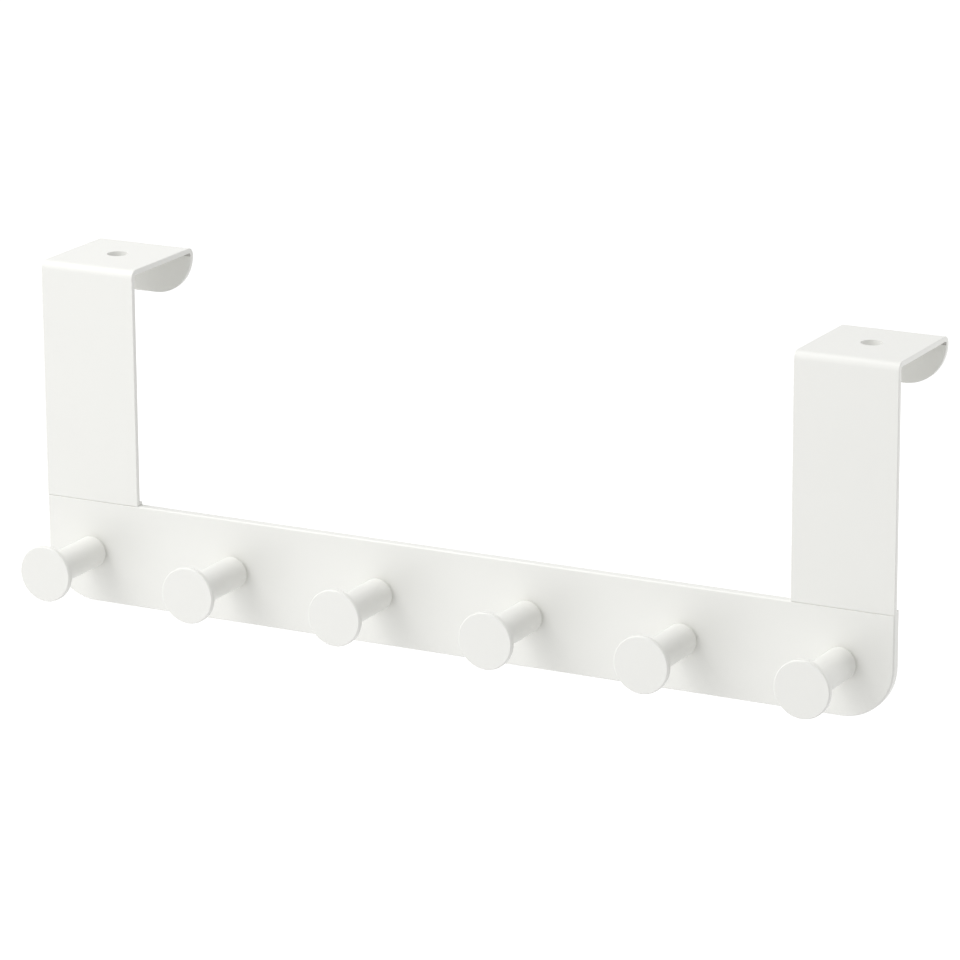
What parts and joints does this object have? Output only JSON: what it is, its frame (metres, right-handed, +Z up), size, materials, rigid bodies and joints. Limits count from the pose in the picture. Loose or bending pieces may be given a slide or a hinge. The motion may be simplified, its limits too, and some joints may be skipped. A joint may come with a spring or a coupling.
{
  "type": "over door hook rack",
  "caption": "White steel over-door rack: a flat rail with a row of round-headed pegs, carried by flat straps that bend over the top of a door.",
  "frame": {"origin": "midway between the two flap holes, on the underside of the flaps, which rests on the door's top edge", "axes": "+X to the right of someone facing the pegs, along the rail; +Y through the door, from the pegs to the rear tabs; +Z up"},
  "size_m": [0.35, 0.08, 0.1315],
  "materials": {
    "powder_coat": "smooth white powder coat with a soft, low sheen, on steel"
  },
  "bodies": {
    "root": {"rail": "powder_coat", "left_strap": "powder_coat", "right_strap": "powder_coat", "peg_1": "powder_coat", "peg_2": "powder_coat", "peg_3": "powder_coat", "peg_4": "powder_coat", "peg_5": "powder_coat", "peg_6": "powder_coat"}
  },
  "joints": []
}
